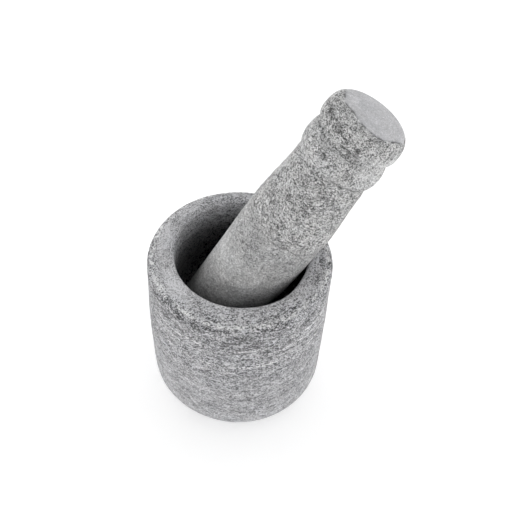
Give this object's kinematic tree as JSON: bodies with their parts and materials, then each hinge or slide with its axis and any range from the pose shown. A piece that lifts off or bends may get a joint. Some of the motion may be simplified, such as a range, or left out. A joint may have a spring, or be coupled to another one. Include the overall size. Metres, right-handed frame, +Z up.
{
  "type": "stone mortar and pestle",
  "caption": "Straight-sided turned stone mortar with a deep round bowl, and a thick stone pestle with a bead and a flat-faced knob leaning in it.",
  "frame": {"origin": "centre of the mortar's flat base, on the surface it stands on", "axes": "+Z up along the mortar's axis, +X towards the side the pestle leans to, +Y towards the far side of the mortar"},
  "size_m": [0.1291, 0.1, 0.1925],
  "materials": {
    "mortar_stone": "turned grey granite, matt, finely streaked round the wall, paler and smoother on the rim and towards the foot",
    "pestle_stone": "grey granite, coarse salt-and-pepper grip, smoother paler grinding end, polished end face on the knob"
  },
  "bodies": {
    "mortar": {"mortar": "mortar_stone"},
    "pestle": {"pestle": "pestle_stone"}
  },
  "joints": [
    {"name": "pestle_lift", "type": "slide", "parent": "mortar", "child": "pestle", "axis": [0, 0, 1], "range_m": [0, 0.08]}
  ]
}
